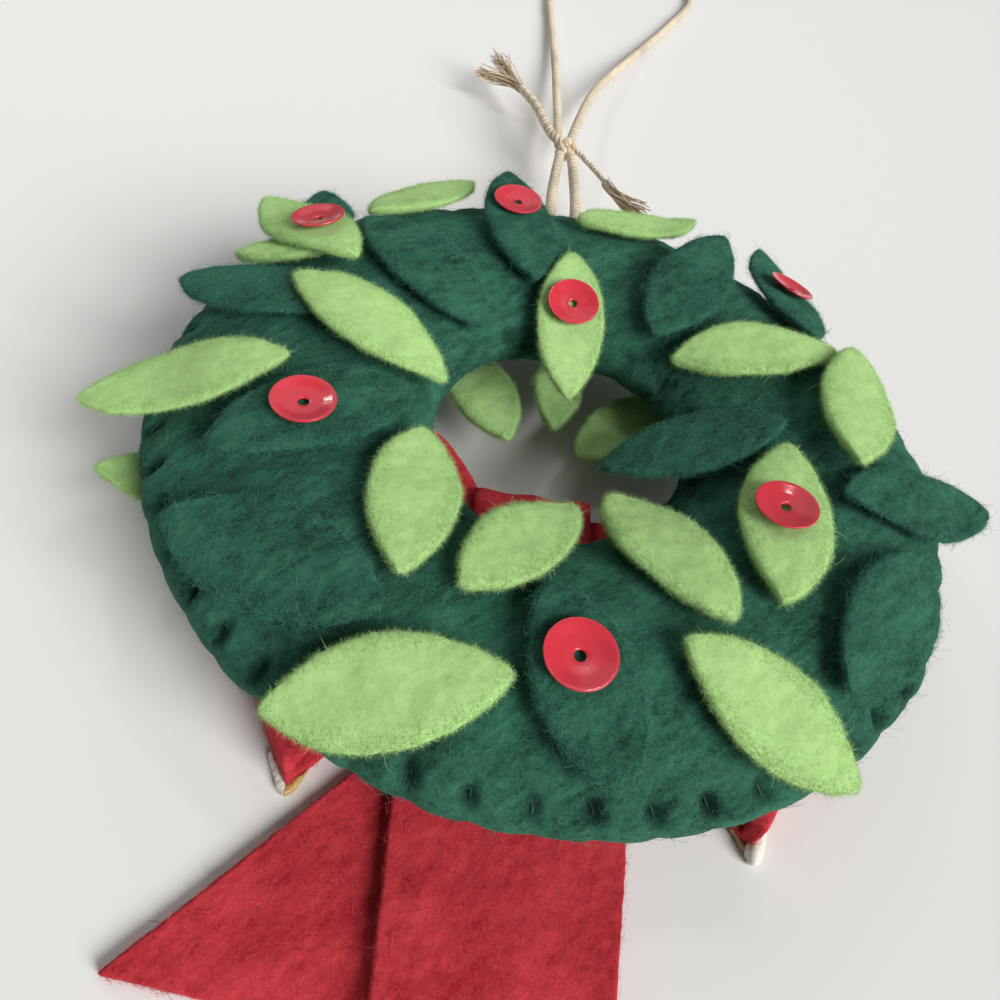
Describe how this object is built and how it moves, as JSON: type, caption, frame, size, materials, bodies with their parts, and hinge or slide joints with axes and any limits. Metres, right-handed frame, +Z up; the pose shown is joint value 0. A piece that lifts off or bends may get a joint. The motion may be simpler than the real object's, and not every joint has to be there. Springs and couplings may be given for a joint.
{
  "type": "felt wreath ornament",
  "caption": "Stuffed dark green felt wreath ornament with pale and dark felt leaves, red cup sequins, a red felt bow and a twisted hanging cord, lying with its leafy face up.",
  "frame": {"origin": "on the table under the middle of the wreath and its bow", "axes": "+Z up out of the leafy face, +Y towards the hanging cord, +X to the right seen from the leafy face"},
  "size_m": [0.0927, 0.2637, 0.023],
  "materials": {
    "dark_felt": "fuzzy wool felt",
    "light_felt": "fuzzy wool felt",
    "red_felt": "fuzzy wool felt",
    "green_thread": "matte thread",
    "stuffing_fibre": "loose fibre",
    "red_sequin": "glossy",
    "white_trim": "matte piping",
    "gold_trim": "satin piping",
    "gold_cord": "twisted, satin"
  },
  "bodies": {
    "wreath": {"back_ring": "dark_felt", "front_ring": "dark_felt", "dark_leaf_1": "dark_felt", "dark_leaf_2": "dark_felt", "dark_leaf_3": "dark_felt", "dark_leaf_4": "dark_felt", "dark_leaf_5": "dark_felt", "dark_leaf_6": "dark_felt", "dark_leaf_7": "dark_felt", "dark_leaf_8": "dark_felt", "dark_leaf_9": "dark_felt", "dark_leaf_10": "dark_felt", "dark_leaf_11": "dark_felt", "dark_leaf_12": "dark_felt", "stuffing": "stuffing_fibre", "outer_seam_thread": "green_thread", "inner_seam_thread": "green_thread", "light_leaf_1": "light_felt", "light_leaf_2": "light_felt", "light_leaf_3": "light_felt", "light_leaf_4": "light_felt", "light_leaf_5": "light_felt", "light_leaf_6": "light_felt", "light_leaf_7": "light_felt", "light_leaf_8": "light_felt", "light_leaf_9": "light_felt", "light_leaf_10": "light_felt", "light_leaf_11": "light_felt", "light_leaf_12": "light_felt", "light_leaf_13": "light_felt", "light_leaf_14": "light_felt", "light_leaf_15": "light_felt", "front_leaf_1": "light_felt", "front_leaf_2": "light_felt", "front_leaf_3": "light_felt", "front_leaf_4": "light_felt", "sequin_1": "red_sequin", "sequin_2": "red_sequin", "sequin_3": "red_sequin", "sequin_4": "red_sequin", "sequin_5": "red_sequin", "sequin_6": "red_sequin", "sequin_7": "red_sequin", "bow_left_loop": "red_felt", "bow_right_loop": "red_felt", "bow_knot": "red_felt", "bow_left_white_trim": "white_trim", "bow_right_white_trim": "white_trim", "bow_left_gold_trim": "gold_trim", "bow_right_gold_trim": "gold_trim"},
    "hanger": {"hanger_leg_left": "gold_cord", "hanger_leg_right": "gold_cord", "hanger_knot": "gold_cord", "hanger_loop": "gold_cord", "hanger_end_long": "gold_cord", "hanger_end_short": "gold_cord"},
    "left_tail": {"bow_left_tail": "red_felt"},
    "right_tail": {"bow_right_tail": "red_felt"}
  },
  "joints": [
    {"name": "hanger_swing", "type": "hinge", "parent": "wreath", "child": "hanger", "pos_m": [0.00146, 0.0505, 0.0128], "axis": [1, 0, 0], "range_deg": [0, 105]},
    {"name": "left_tail_swing", "type": "hinge", "parent": "wreath", "child": "left_tail", "pos_m": [-0.00014, -0.0163, 0.0006], "axis": [0, 0, 1], "range_deg": [-4, 22]},
    {"name": "right_tail_swing", "type": "hinge", "parent": "wreath", "child": "right_tail", "pos_m": [-0.00014, -0.0163, 0.0021], "axis": [0, 0, 1], "range_deg": [-18, 20]}
  ]
}
